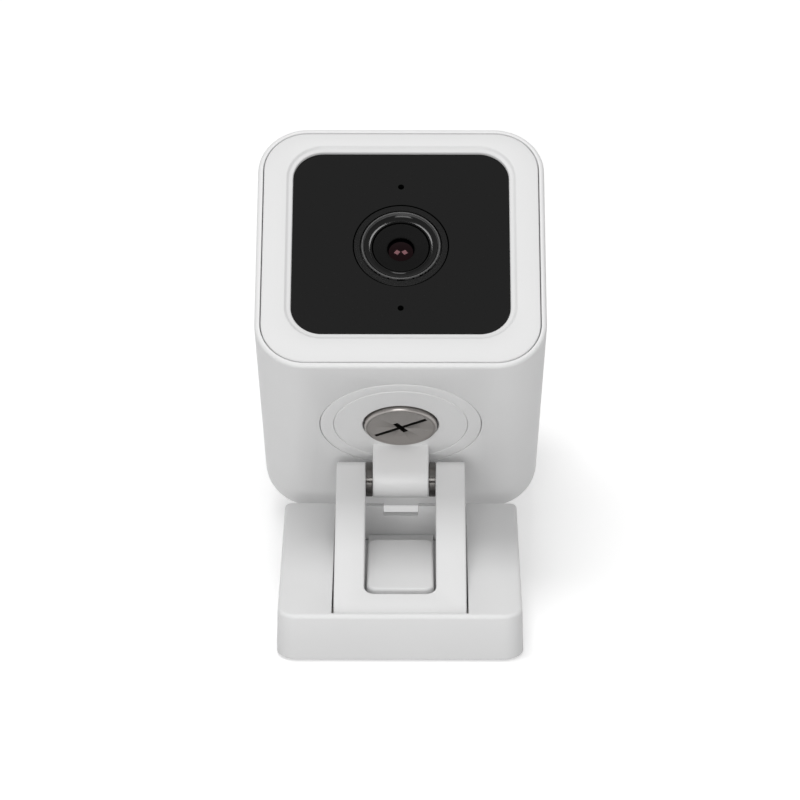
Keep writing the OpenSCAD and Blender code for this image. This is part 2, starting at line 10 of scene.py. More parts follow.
import bmesh
import bpy
import numpy as np
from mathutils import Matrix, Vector


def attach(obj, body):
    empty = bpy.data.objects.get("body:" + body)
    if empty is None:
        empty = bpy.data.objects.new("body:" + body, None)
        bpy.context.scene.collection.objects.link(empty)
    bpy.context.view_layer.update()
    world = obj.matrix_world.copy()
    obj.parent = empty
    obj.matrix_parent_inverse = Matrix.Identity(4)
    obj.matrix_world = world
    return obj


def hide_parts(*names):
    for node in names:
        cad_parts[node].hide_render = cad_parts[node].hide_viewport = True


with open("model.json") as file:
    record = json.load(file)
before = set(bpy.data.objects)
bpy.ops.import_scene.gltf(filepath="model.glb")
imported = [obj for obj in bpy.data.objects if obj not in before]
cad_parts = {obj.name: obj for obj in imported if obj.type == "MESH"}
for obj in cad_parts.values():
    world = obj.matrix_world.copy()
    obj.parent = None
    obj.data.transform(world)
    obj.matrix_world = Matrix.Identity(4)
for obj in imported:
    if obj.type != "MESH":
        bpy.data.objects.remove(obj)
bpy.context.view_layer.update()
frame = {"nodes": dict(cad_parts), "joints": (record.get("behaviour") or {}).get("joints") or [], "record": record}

MM = 0.001
NODES = frame["nodes"]
JOINTS = {joint["name"]: joint for joint in frame["joints"]}
SLOTS = {part["node"]: part["material_slot"] for part in frame["record"]["subparts"]}
X_AXIS = np.array([1.0, 0.0, 0.0])


# ---------------------------------------------------------------- places


class Place:
    """A local frame in millimetres: an origin and a Z direction in the YZ plane, with X kept."""

    def __init__(self, origin, up):
        self.origin = np.array(origin, float) / MM
        z = np.array(up, float)
        z /= np.linalg.norm(z)
        self.axes = np.stack([X_AXIS, np.cross(z, X_AXIS), z])

    def world(self, points):
        """Local millimetres to the row frame in metres: origin plus each coordinate times its axis."""
        return (np.asarray(points, float) @ self.axes + self.origin) * MM

    def local(self, points):
        """Row-frame metres to local millimetres."""
        return (np.asarray(points, float) / MM - self.origin) @ self.axes.T

    def node_box(self, name):
        """Lowest and highest corner of a CAD node in this frame."""
        mesh = NODES[name].data
        co = np.empty(3 * len(mesh.vertices))
        mesh.vertices.foreach_get("co", co)
        local = self.local(co.reshape(-1, 3))
        return local.min(0), local.max(0)


def joint_point(name):
    return np.array(JOINTS[name]["pos_m"], float)


arm_run = joint_point("neck_tilt") - joint_point("arm_fold")
STAND = Place((0, 0, 0), (0, 0, 1))
ARM = Place(joint_point("arm_fold"), np.cross(X_AXIS, arm_run))
HEAD = Place(joint_point("head_swivel"), JOINTS["head_swivel"]["axis"])

shell_lo, shell_hi = HEAD.node_box("head_shell")
bezel_lo, bezel_hi = HEAD.node_box("front_bezel")
cover_lo, cover_hi = STAND.node_box("base_cover")
arm_lo, arm_hi = ARM.node_box("stand_arm")
pad_lo, pad_hi = STAND.node_box("rest_pad")
surround_lo, surround_hi = HEAD.node_box("lens_surround")
neck_lo, neck_hi = HEAD.node_box("neck")
ring_lo, ring_hi = HEAD.node_box("swivel_ring")
screw_lo, screw_hi = HEAD.node_box("mount_screw")
washer_lo, washer_hi = STAND.node_box("upper_hinge_washers")
flap_lo, flap_hi = HEAD.node_box("port_flap")
window_lo, window_hi = HEAD.node_box("front_window")

# Sizes that the boxes above don't give, in millimetres.
HEAD_CORNER = 9.0
HEAD_BACK_EDGE = 3.0
HEAD_TAPER = 0.5
LIP = 1.1
SEAM = 0.15
WINDOW_FLANGE = 1.2
WINDOW_CORNER = 5.5
BASE_CORNER = 3.6
BASE_BACK_CORNER = 1.5
BASE_DRAFT = 0.25
GROOVE_GAP = 0.3
FRONT_LIP = 1.3
BACK_LIP = 2.0
NOTCH = (6.3, 2.0)
KNUCKLE = 3.3
PIN = 1.55
LENS_Z = 25.6
SLOT_ANGLE = -33.0
TABLE_R = 12.0
NECK_SET = 10.6
TAB_HALF = 5.05
ARM_LENGTH = 35.0
ARM_GAP_START = 3.9
PAD_LENGTH = 19.65
PAD_TO_KNUCKLE = 6.25
SHELF_TOP = 3.0

# The direction of a hinge washer's open end, in degrees from the back of the stand upwards.
WASHER_SPLIT = 157.0

knuckle = (NECK_SET, neck_lo[2] + KNUCKLE)
swivel_pocket_r = neck_hi[0] + 0.3
pad_back = joint_point("arm_fold")[1] / MM + ARM_LENGTH - KNUCKLE - PAD_TO_KNUCKLE


# ---------------------------------------------------------------- surfaces


def arc(centre, radius, start, end, steps):
    """Points round a circle: centre plus radius times cosine and sine, from start to end degrees."""
    a = np.radians(np.linspace(start, end, steps + 1))
    return np.column_stack([centre[0] + radius * np.cos(a), centre[1] + radius * np.sin(a)])


def round_rect(width, height, radius, steps=14, centre=(0, 0), far_radius=None):
    """A rectangle with a quarter circle at each corner, anticlockwise from the right side.
    The two far corners may have a radius of their own."""
    arcs = []
    for sx, sy, start in ((1, 1, 0), (-1, 1, 90), (-1, -1, 180), (1, -1, 270)):
        r = far_radius if far_radius and sy > 0 else radius
        arcs.append(arc((sx * (width / 2 - r), sy * (height / 2 - r)), r, start, start + 90, steps))
    return np.concatenate(arcs) + np.array(centre)


def fillet(inset0, depth0, inset1, depth1, steps=5):
    """A quarter round from (inset0, depth0) to (inset1, depth1), leaving along the depth."""
    a = np.linspace(0, math.pi / 2, steps + 1)
    return np.column_stack([
        inset0 + (inset1 - inset0) * (1 - np.cos(a)),
        depth0 + (depth1 - depth0) * np.sin(a),
    ])


def plan_box(x0, y0, x1, y1):
    """The four corners of a rectangle, anticlockwise from (x0, y0)."""
    return np.array([(x0, y0), (x1, y0), (x1, y1), (x0, y1)])


def loft(rings, closed=False):
    """Quads between rings of equal length, joined round each ring, with flat ends unless closed."""
    rings = np.asarray(rings, float)
    count, around = rings.shape[:2]
    grid = np.arange(count * around).reshape(count, around)
    ends = grid if not closed else np.vstack([grid, grid[:1]])
    a, b = ends[:-1], ends[1:]
    quads = np.stack([a, np.roll(a, -1, 1), np.roll(b, -1, 1), b], axis=-1).reshape(-1, 4)
    faces = quads.tolist()
    if not closed:
        faces += [grid[0][::-1].tolist(), grid[-1].tolist()]
    return rings.reshape(-1, 3), faces


def lathe(profile, along="z", centre=(0, 0, 0), steps=96, closed=False):
    """A profile of (radius, distance) turned round an axis through centre, along local y or z."""
    profile = np.asarray(profile, float)
    a = np.linspace(0, 2 * math.pi, steps, endpoint=False)
    across = profile[:, :1] * np.cos(a), profile[:, :1] * np.sin(a)
    run = np.repeat(profile[:, 1:], steps, axis=1)
    order = (across[0], across[1], run) if along == "z" else (across[0], run, across[1])
    return loft(np.stack(order, axis=-1) + np.array(centre, float), closed)


def slab(outline, low, high, along):
    """An outline carried straight along an axis from low to high. It lies in the other two axes."""
    ends = []
    for value in (low, high):
        column = np.full(len(outline), value)
        u, v = outline[:, 0], outline[:, 1]
        ends.append(np.column_stack({"x": (column, u, v), "y": (u, column, v), "z": (u, v, column)}[along]))
    return loft(ends)


# ---------------------------------------------------------------- meshes


def make(name, shape, place):
    """A mesh object from points and faces, with doubles merged and faces turned outwards."""
    points, faces = shape
    mesh = bpy.data.meshes.new(name)
    mesh.from_pydata(place.world(points).tolist(), [], faces)
    obj = bpy.data.objects.new(name, mesh)
    bpy.context.scene.collection.objects.link(obj)
    clean(obj)
    return obj


def clean(obj):
    """Merges doubles, dissolves degenerate edges and turns the faces outwards."""
    bm = bmesh.new()
    bm.from_mesh(obj.data)
    bmesh.ops.remove_doubles(bm, verts=bm.verts, dist=2e-7)
    bmesh.ops.dissolve_degenerate(bm, edges=bm.edges, dist=1e-7)
    bmesh.ops.recalc_face_normals(bm, faces=bm.faces)
    bm.to_mesh(obj.data)
    bm.free()


def settle(obj):
    """Applies the modifiers of a piece and leaves it with a plain mesh."""
    graph = bpy.context.evaluated_depsgraph_get()
    mesh = bpy.data.meshes.new_from_object(obj.evaluated_get(graph))
    old = obj.data
    obj.modifiers.clear()
    obj.data = mesh
    bpy.data.meshes.remove(old)


def combine(obj, shapes, place, operation="DIFFERENCE"):
    """Cuts closed shapes out of a piece, or joins them to it, one after the other."""
    for number, shape in enumerate(shapes):
        tool = make(f"tool_{number}", shape, place)
        step = obj.modifiers.new("cut", "BOOLEAN")
        step.operation, step.solver, step.object = operation, "EXACT", tool
        settle(obj)
        bpy.data.objects.remove(tool)
    clean(obj)


def soften(obj, width, segments=3, angle=35):
    """Rounds the sharp edges of a piece by width millimetres."""
    bevel = obj.modifiers.new("edges", "BEVEL")
    bevel.width, bevel.segments = width * MM, segments
    bevel.limit_method, bevel.angle_limit = "ANGLE", math.radians(angle)
    settle(obj)


def place_piece(obj, body, finish, replaced=(), smooth=32):
    """Shades a piece, gives it its finish and body, and says which CAD nodes it stands for."""
    obj.data.polygons.foreach_set("use_smooth", np.ones(len(obj.data.polygons), bool))
    obj.data.set_sharp_from_angle(angle=math.radians(smooth))
    obj.data.materials.clear()
    obj.data.materials.append(finish)
    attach(obj, body)
    for node in replaced:
        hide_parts(node)
    return obj


def second_finish(obj, finish, chosen, along, centre):
    """Gives a turned piece's chosen faces another finish, by their radius and depth from the centre."""
    obj.data.materials.append(finish)
    for face in obj.data.polygons:
        local = HEAD.local(np.array(face.center)) - np.array(centre)
        axis = "xyz".index(along)
        radius = math.hypot(*np.delete(local, axis))
        if chosen(radius, local[axis]):
            face.material_index = 1
    return obj


# ---------------------------------------------------------------- materials


def linear(hex_colour):
    """An sRGB hex colour as linear red, green, blue and alpha."""
    channels = [int(hex_colour[i:i + 2], 16) / 255 for i in (1, 3, 5)]
    return [c / 12.92 if c <= 0.04045 else ((c + 0.055) / 1.055) ** 2.4 for c in channels] + [1.0]


def add(tree, kind, links=(), **settings):
    """Adds one node: settings are attributes or input values, links are (input, output socket)."""
    node = tree.nodes.new(kind)
    for key, value in settings.items():
        if hasattr(node, key):
            setattr(node, key, value)
        else:
            node.inputs[key.replace("_", " ")].default_value = value
    for key, source in links:
        tree.links.new(source, node.inputs[key])
    return node


def finish_of(name, hex_colour, roughness, **shader):
    """A new material with its Principled shader set; returns the material, its tree and the shader."""
    material = bpy.data.materials.new(name)
    material.use_nodes = True
    tree = material.node_tree
    principled = tree.nodes["Principled BSDF"]
    principled.inputs["Base Color"].default_value = linear(hex_colour)
    principled.inputs["Roughness"].default_value = roughness
    for key, value in shader.items():
        principled.inputs[key.replace("_", " ")].default_value = value
    return material, tree, principled


def object_coordinates(tree, scale_mm, stretch=(1, 1, 1), turn=(0, 0, 0)):
    """Object coordinates scaled so that one unit is scale_mm, turned first."""
    where = add(tree, "ShaderNodeTexCoord")
    unit = 1 / (scale_mm * MM)
    return add(tree, "ShaderNodeMapping", [("Vector", where.outputs["Object"])],
               Rotation=turn, Scale=[unit * s for s in stretch]).outputs["Vector"]


def grain_bump(tree, principled, grain_mm, height_mm, detail=2.0, stretch=(1, 1, 1), turn=(0, 0, 0)):
    """Fine height texture of a moulded or brushed face, as a bump."""
    where = object_coordinates(tree, grain_mm, stretch, turn)
    noise = add(tree, "ShaderNodeTexNoise", [("Vector", where)], Scale=1.0, Detail=detail)
    bump = add(tree, "ShaderNodeBump", [("Height", noise.outputs["Fac"])],
               Distance=height_mm * MM, Strength=1.0)
    tree.links.new(bump.outputs["Normal"], principled.inputs["Normal"])
    return noise


def drift(tree, principled, light_hex, dark_hex, patch_mm):
    """Slow colour drift between two close colours, patch_mm across."""
    where = object_coordinates(tree, patch_mm)
    noise = add(tree, "ShaderNodeTexNoise", [("Vector", where)], Scale=1.0, Detail=3.0)
    mix = add(tree, "ShaderNodeMix", [("Factor", noise.outputs["Fac"])], data_type="RGBA")
    for socket in mix.inputs:
        if socket.name in "AB" and socket.type == "RGBA":
            socket.default_value = linear(dark_hex if socket.name == "A" else light_hex)
    colour = next(s for s in mix.outputs if s.type == "RGBA")
    tree.links.new(colour, principled.inputs["Base Color"])


def moulded_white(name, light_hex, dark_hex, roughness):
    """White ABS from a spark-eroded mould: satin, with a fine grain and a very slight drift of tone."""
    material, tree, principled = finish_of(name, light_hex, roughness, IOR=1.53)
    drift(tree, principled, light_hex, dark_hex, 14)
    grain_bump(tree, principled, 0.22, 0.004)
    return material


def moulded_black(name, hex_colour, roughness, ior=1.36, grain_mm=0.2, height_mm=0.003):
    """Black moulded plastic: dark satin with a fine grain."""
    material, tree, principled = finish_of(name, hex_colour, roughness, IOR=ior)
    grain_bump(tree, principled, grain_mm, height_mm)
    return material


def polished_acrylic():
    """Black acrylic that passes infrared: a polished face with faint moulding waves."""
    material, tree, principled = finish_of("black_acrylic", "#070707", 0.04, IOR=1.38)
    grain_bump(tree, principled, 9.0, 0.002, detail=1.0)
    return material


def brushed_nickel(name, hex_colour, roughness, turn=(0, 0, 0), grain_mm=0.16):
    """Nickel-plated steel with fine straight brush lines, so highlights are drawn out across them."""
    material, tree, principled = finish_of(name, hex_colour, roughness, Metallic=1.0)
    lines = grain_bump(tree, principled, grain_mm, 0.005, 3.0, (0.06, 1, 1), turn)
    shade = add(tree, "ShaderNodeMapRange", [("Value", lines.outputs["Fac"])])
    shade.inputs["To Min"].default_value = roughness * 0.75
    shade.inputs["To Max"].default_value = roughness * 1.3
    tree.links.new(shade.outputs["Result"], principled.inputs["Roughness"])
    return material


def plain_finish(name, hex_colour, roughness, grain_mm=0.3, height_mm=0.004, **shader):
    """A finish for pieces that are mostly inside: an even colour with its own fine grain."""
    material, tree, principled = finish_of(name, hex_colour, roughness, **shader)
    grain_bump(tree, principled, grain_mm, height_mm)
    return material


def coated_glass():
    """Optical glass over a dark barrel, with a coating that tints what it reflects rose."""
    material, tree, principled = finish_of("coated_glass", "#030304", 0.05, IOR=1.3)
    principled.inputs["Specular Tint"].default_value = linear("#ffb4be")
    grain_bump(tree, principled, 3.0, 0.0003)
    return material


head_turn = (math.atan2(HEAD.axes[2][1], HEAD.axes[2][2]), 0, 0)
WHITE = moulded_white("white_abs", "#e6e6e6", "#e2e2e2", 0.42)
# Painted shade: the bezel's white is a darker copy of the shell's, taking down the stronger light on the front
# face.
WHITE_BEZEL_SHADED = moulded_white("white_abs_bezel_painted_shade", "#dadada", "#d7d7d7", 0.38)
WHITE_STAND = moulded_white("white_abs_stand", "#e4e4e4", "#e0e0e0", 0.45)
ACRYLIC = polished_acrylic()
SURROUND = moulded_black("black_surround", "#070707", 0.1)
# Painted highlight: the bead is paler than the ring it stands on, standing in for the glint along its edge.
BEAD_HIGHLIGHT = moulded_black("bead_painted_highlight", "#484848", 0.35, 1.45)
BARREL = moulded_black("black_barrel", "#060606", 0.5, 1.2)
SCREW = brushed_nickel("brushed_nickel", "#9d9996", 0.3, head_turn, 0.35)
# Painted shade: the hinge steel is darker, standing in for the dark surroundings it reflects.
STEEL_SHADED = brushed_nickel("ground_steel_painted_shade", "#6a6866", 0.32)
# Painted shade: the screw's slot is darker, standing in for the shade in that deep, narrow recess.
SLOT_SHADE = brushed_nickel("slot_painted_shade", "#2b2927", 0.5)
GLASS = coated_glass()

PLAIN = {
    "steel_plate": plain_finish("painted_steel", "#dcdcdc", 0.5),
    "weight_steel": plain_finish("raw_steel", "#77787a", 0.45, 0.5, 0.02, Metallic=1.0),
    "foot_rubber": plain_finish("grey_rubber", "#8f8f91", 0.8, 0.4, 0.02),
    "insert_brass": plain_finish("turned_brass", "#c9a45c", 0.3, Metallic=1.0),
    "gasket_foam": plain_finish("black_foam", "#1e1e1e", 0.9, 0.5, 0.05),
    "coil_body": plain_finish("copper_winding", "#9a5b2c", 0.4, 0.2, 0.03, Metallic=0.6),
    "chip_body": plain_finish("moulded_package", "#18181a", 0.6),
    "board_laminate": plain_finish("green_laminate", "#1d5a35", 0.45),
    "led_lens": plain_finish("clear_epoxy", "#d8d8e0", 0.15, Transmission_Weight=0.6),
    "chassis_plastic": plain_finish("grey_moulding", "#555557", 0.55),
    "thermal_gel": plain_finish("silicone_pad", "#9fb4c8", 0.7),
    "sink_aluminium": plain_finish("rolled_aluminium", "#c9cacc", 0.35, Metallic=1.0),
    "antenna_film": plain_finish("polyimide_film", "#a5652a", 0.35),
    "speaker_body": plain_finish("black_basket", "#141414", 0.6),
    "socket_steel": plain_finish("tinned_steel", "#c6c7c9", 0.3, Metallic=1.0),
    "switch_body": plain_finish("switch_moulding", "#2e2e2e", 0.5),
    "button_plastic": plain_finish("white_button", "#e2e2e2", 0.45),
    "filter_glass": plain_finish("filter_glass", "#6b3a44", 0.08, Transmission_Weight=0.5),
    "black_barrel": BARREL,
    "lens_glass": GLASS,
    "black_window": ACRYLIC,
    "screw_steel": SCREW,
    "pin_steel": STEEL_SHADED,
    "white_shell": WHITE,
    "white_bezel": WHITE_BEZEL_SHADED,
    "white_stand": WHITE_STAND,
    "white_neck": WHITE_STAND,
    "white_ring": WHITE,
    "black_surround": SURROUND,
    "flap_rubber": plain_finish("white_silicone", "#dedede", 0.6, 0.4, 0.01),
}


# ---------------------------------------------------------------- pieces of the head


def head_ring(inset, depth):
    """The head's rounded-square section, drawn in by inset, at a depth behind the front plane."""
    width, height, length = 2 * shell_hi[0], shell_hi[2] - shell_lo[2], shell_hi[1] - shell_lo[1]
    outline = round_rect(width - 2 * inset, height - 2 * inset, max(HEAD_CORNER - inset, 0.8), 16,
                         (0, height / 2))
    share = depth / length
    x = outline[:, 0] * (1 - HEAD_TAPER / (width / 2) * share)
    z = outline[:, 1] * (1 - HEAD_TAPER / height * share)
    return np.column_stack([x, np.full(len(x), shell_lo[1] + depth), z])


def head_skin():
    """The shell: its section carried from the cavity's end round the front lip and back to the rear."""
    length = shell_hi[1] - shell_lo[1]
    wall, rebate, edge, lip = 2.2, 2.9, 0.7, LIP - SEAM
    inside = [(wall, length - 3.0), (wall, rebate), (lip, rebate), (lip, 0.18), (lip - 0.05, 0.05)]
    front = np.array([(edge, 0.0), *fillet(0, edge, edge, 0)[::-1].tolist()[1:]])
    back = fillet(0, length - HEAD_BACK_EDGE, HEAD_BACK_EDGE, length, 8)
    profile = inside + [(lip - 0.16, 0.0)] + front.tolist() + back.tolist()
    obj = make("head_skin", loft([head_ring(i, d) for i, d in profile]), HEAD)
    y1 = shell_hi[1]
    inlet = slab(round_rect(11, 6.4, 1.2, 6, (0, 8.6)), y1 - 2.9, y1 + 1, "y")
    flap_centre = (0, (flap_lo[2] + flap_hi[2]) / 2)
    pocket = slab(round_rect(flap_hi[0] * 2 + 0.6, flap_hi[2] - flap_lo[2] + 0.6, 0.5, 6, flap_centre),
                  flap_lo[1] - 0.3, y1 + 1, "y")
    button = lathe([(1.55, y1 - 2.9), (1.55, y1)], "y", (-5.6, 0, flap_centre[1]), 32)
    card = slab(round_rect(11.5, 1.3, 0.3, 3, (2.6, flap_centre[1])), y1 - 2.9, y1, "y")
    swivel = lathe([(0, 5.5), (swivel_pocket_r, 5.5), (swivel_pocket_r, 1.3), (ring_hi[0] + 0.06, 1.3),
                    (ring_hi[0] + 0.06, -1), (0, -1)], "z")
    combine(obj, [inlet, pocket, button, card, swivel] + grille_holes(y1), HEAD)
    soften(obj, 0.1, 2, 50)
    return place_piece(obj, "head", WHITE, ["head_shell"])


def grille_holes(y1):
    """The loudspeaker's holes: one in the middle, then rings of 6, 12 and 18, 2.2 apart."""
    holes = []
    for ring in range(4):
        for k in range(max(1, 6 * ring)):
            turn = math.radians(60 * k / max(1, ring))
            centre = (2.2 * ring * math.cos(turn), 0, 33 + 2.2 * ring * math.sin(turn))
            holes.append(lathe([(0.6, y1 - 2), (0.6, y1 + 1)], "y", centre, 16))
    points, faces, start = [], [], 0
    for p, f in holes:
        points.append(p)
        faces += [[i + start for i in face] for face in f]
        start += len(p)
    return [(np.concatenate(points), faces)]


def bezel_skin():
    """The front bezel: a closed band from the outer outline over the flat face to the window's edge."""
    y0 = bezel_lo[1]
    thick = bezel_hi[1] - y0
    sink = window_lo[1] - y0
    width, height = 2 * bezel_hi[0], bezel_hi[2] - bezel_lo[2]
    middle = (bezel_hi[2] + bezel_lo[2]) / 2
    open_w, open_h = 2 * (window_hi[0] - WINDOW_FLANGE), window_hi[2] - window_lo[2] - 2 * WINDOW_FLANGE
    open_z = (window_hi[2] + window_lo[2]) / 2

    def outer(inset, depth):
        o = round_rect(width - 2 * inset, height - 2 * inset, HEAD_CORNER - LIP - inset, 16, (0, middle))
        return np.column_stack([o[:, 0], np.full(len(o), y0 + depth), o[:, 1]])

    def inner(grow, depth):
        o = round_rect(open_w + 2 * grow, open_h + 2 * grow, WINDOW_CORNER + grow, 16, (0, open_z))
        return np.column_stack([o[:, 0], np.full(len(o), y0 + depth), o[:, 1]])

    edge, step = 0.2, 0.3
    rings = [outer(0, thick)] + [outer(i, d) for i, d in fillet(0, edge, edge, 0)]
    ledge = [(1.3, 0.0), (1.16, 0.02), (1.06, 0.08), (0.9, 0.2), (0.78, 0.26), (0.66, step), (0.3, step),
             (0.12, step + 0.06), (0.02, step + 0.2)]
    rings += [inner(g, d) for g, d in ledge]
    rings += [inner(0.0, sink), inner(WINDOW_FLANGE + 0.1, sink), inner(WINDOW_FLANGE + 0.1, thick)]
    obj = make("bezel_skin", loft(rings, closed=True), HEAD)
    # The bezel takes the darker copy of the white ABS: painted shade.
    return place_piece(obj, "head", WHITE_BEZEL_SHADED, ["front_bezel"])


def surround_skin():
    """The lens surround: a flat ring, a groove, a raised bead and a step down to the barrel."""
    y0 = window_lo[1]
    outer, bead, bead_r = surround_hi[0], 6.9, 0.17

    def on_bead_highlight(radius, depth):
        return bead - 0.25 < radius < bead + 0.25 and depth < 0.2

    profile = [(outer, 2.4), (outer, 0.08), (outer - 0.05, 0.03), (7.35, 0.03), (7.27, 0.12), (7.2, 0.4),
               (7.1, 0.4), (bead + bead_r, 0.0)]
    profile += arc((bead, 0.0), bead_r, 0, -180, 10)[1:].tolist()
    profile += [(6.6, 0.2), (6.3, 0.5), (5.75, 0.62), (5.5, 0.64), (5.42, 0.56), (5.32, 0.52), (5.22, 0.56),
                (5.16, 0.7), (5.16, 2.4)]
    obj = make("surround_skin", lathe(profile, "y", (0, y0, LENS_Z), 128, closed=True), HEAD)
    place_piece(obj, "head", SURROUND, ["lens_surround"], 40)
    # The bead's faces take the paler finish: a painted highlight.
    return second_finish(obj, BEAD_HIGHLIGHT, on_bead_highlight, "y", (0, y0, LENS_Z))


def barrel_skin():
    """The lens barrel: a tube whose face slopes in to a small round opening."""
    y0 = window_lo[1]
    back = HEAD.node_box("lens_barrel")[1][1] - y0
    profile = [(5.0, back), (5.0, 0.75), (4.92, 0.66), (4.7, 0.68), (3.0, 1.2), (2.6, 1.22), (2.46, 1.28),
               (2.4, 1.42), (2.5, 1.6), (3.15, 1.7), (3.15, back)]
    obj = make("barrel_skin", lathe(profile, "y", (0, y0, LENS_Z), 96, closed=True), HEAD)
    return place_piece(obj, "head", BARREL, ["lens_barrel"], 40)


def front_glass():
    """The front element: a shallow dome over the barrel's opening, closed behind."""
    y0 = window_lo[1] + 1.5
    r, bulge = 3.1, 0.6
    ball = (r * r + bulge * bulge) / (2 * bulge)
    radii = np.linspace(0, r, 14)
    dome = np.column_stack([radii, ball - np.sqrt(ball**2 - radii**2)])
    profile = dome.tolist() + [(r, bulge + 1.2), (0, bulge + 1.2)]
    obj = make("front_glass", lathe(profile, "y", (0, y0, LENS_Z), 64), HEAD)
    return place_piece(obj, "head", GLASS, ["front_lens"], 50)


def swivel_ring_skin():
    """The ring that holds the turntable: flat, with eased edges."""
    inner, outer, high, edge = TABLE_R + 0.05, ring_hi[0] - 0.08, ring_hi[2], 0.18
    profile = [(inner, high), *fillet(inner, edge, inner + edge, 0, 4).tolist(),
               *fillet(outer, edge, outer - edge, 0, 4)[::-1].tolist(), (outer, high)]
    obj = make("swivel_ring_skin", lathe(profile, "z", steps=160, closed=True), HEAD)
    return place_piece(obj, "head", WHITE, ["swivel_ring"])


def flap_skin():
    """The soft port flap: a rounded pad with a low rim round its outer face."""
    w, h = 2 * flap_hi[0], flap_hi[2] - flap_lo[2]
    z = (flap_hi[2] + flap_lo[2]) / 2
    rings = [(0.4, 0.0), *fillet(0, 0.4, 0.4, 0, 3)[::-1].tolist(),
             *fillet(0, 0.75, 0.35, 1.1, 4).tolist(), (0.9, 1.1), (1.1, 1.0), (3.0, 1.0)]
    sections = []
    for inset, depth in rings:
        o = round_rect(w - 2 * inset, h - 2 * inset, max(1.0 - inset, 0.3), 6, (0, z))
        sections.append(np.column_stack([o[:, 0], np.full(len(o), flap_lo[1] + depth), o[:, 1]]))
    obj = make("flap_skin", loft(sections), HEAD)
    return place_piece(obj, "flap", PLAIN["flap_rubber"], ["port_flap"])


# ---------------------------------------------------------------- neck, screw and stand


def neck_skin():
    """The neck: a turned table with a flange, joined to a tab that ends in a round knuckle."""
    table_t, flange = neck_hi[2], neck_hi[0]
    profile = [(3.4, table_t), (3.4, 1.65), (6.85, 1.65), (6.85, 0.12), (6.97, 0), (TABLE_R - 0.15, 0),
               (TABLE_R, 0.15), (TABLE_R, 1.6), (flange, 1.6), (flange, table_t)]
    obj = make("neck_skin", lathe(profile, "z", steps=128, closed=True), HEAD)
    front, back, radius = knuckle[0] - KNUCKLE, knuckle[0] + KNUCKLE, KNUCKLE
    root = math.sqrt(TABLE_R**2 - TAB_HALF**2) - 0.15
    outline = [(front, 0.6), (root, 0.6), (root, -0.3), (root + 1, -1.3), (back, knuckle[1] + 1.5)]
    outline += arc(knuckle, radius, 0, -180, 24).tolist()
    tab = make("tab", slab(np.array(outline), -TAB_HALF, TAB_HALF, "x"), HEAD)
    soften(tab, 0.35, 3, 50)
    step = obj.modifiers.new("tab", "BOOLEAN")
    step.operation, step.solver, step.object = "UNION", "EXACT", tab
    settle(obj)
    bpy.data.objects.remove(tab)
    clean(obj)
    return place_piece(obj, "neck", WHITE_STAND, ["neck"])


def bar(half_length, half_width, turn_deg, low, high):
    """A straight bar through the Z axis: a rectangle turned about it and carried from low to high."""
    turn = math.radians(turn_deg)
    along = np.array([math.cos(turn), math.sin(turn)])
    across = np.array([-along[1], along[0]])
    corners = np.array([(-1, -1), (1, -1), (1, 1), (-1, 1)])
    outline = corners[:, :1] * half_length * along + corners[:, 1:] * half_width * across
    return slab(outline, low, high, "z")


def screw_skin():
    """The coin-slot screw: a turned head with a raised rim, a dished face, a slot and a short cross."""
    low, radius = screw_lo[2] + 0.3, screw_hi[0] - 0.12
    dish, slot_half, slot_depth = 0.16, 5.45, 1.1

    def in_shaded_slot(radius, depth):
        return radius < slot_half + 0.15 and 0.22 < depth < 1.5

    profile = [(0, low + dish), (radius - 0.95, low + dish), (radius - 0.8, low + 0.1), (radius - 0.62, low),
               (radius - 0.4, low), (radius - 0.2, low + 0.1), (radius - 0.04, low + 0.32),
               (radius, low + 0.45), (radius, low + 2.2), (3.1, low + 2.2), (3.1, screw_hi[2]),
               (0, screw_hi[2])]
    obj = make("screw_skin", lathe(profile, "z", steps=128), HEAD)
    slot = bar(slot_half, 0.38, SLOT_ANGLE, low - 1, low + slot_depth)
    cross = bar(1.75, 0.5, SLOT_ANGLE + 90, low - 1, low + slot_depth)
    combine(obj, [slot, cross], HEAD)
    soften(obj, 0.06, 2, 55)
    place_piece(obj, "screw", SCREW, ["mount_screw"], 35)
    # The slot's faces take the darker finish: painted shade.
    return second_finish(obj, SLOT_SHADE, in_shaded_slot, "z", (0, 0, low))


def washer_skin():
    """The split spring washers beside the knuckle: rings with eased edges, each open at the front."""
    near, far = TAB_HALF + 0.05, washer_hi[0]
    radius = (washer_hi[2] - washer_lo[2]) / 2
    centre_y, centre_z = (washer_hi[1] + washer_lo[1]) / 2, (washer_hi[2] + washer_lo[2]) / 2
    ease = 0.12
    rings = []
    for side in (-1, 1):
        profile = np.array([(PIN, near), (PIN, far), (radius - ease, far), (radius, far - ease),
                            (radius, near + ease), (radius - ease, near)])
        span = np.radians(np.linspace(9, 351, 72) + WASHER_SPLIT)
        sections = [np.column_stack([side * profile[:, 1], centre_y + profile[:, 0] * math.cos(t),
                                     centre_z + profile[:, 0] * math.sin(t)]) for t in span]
        rings.append(loft(sections))
    points = np.concatenate([r[0] for r in rings])
    shift = len(rings[0][0])
    faces = rings[0][1] + [[i + shift for i in f] for f in rings[1][1]]
    obj = make("washer_skin", (points, faces), STAND)
    # The washers take the darkened steel: painted shade.
    return place_piece(obj, "arm", STEEL_SHADED, ["upper_hinge_washers"], 35)


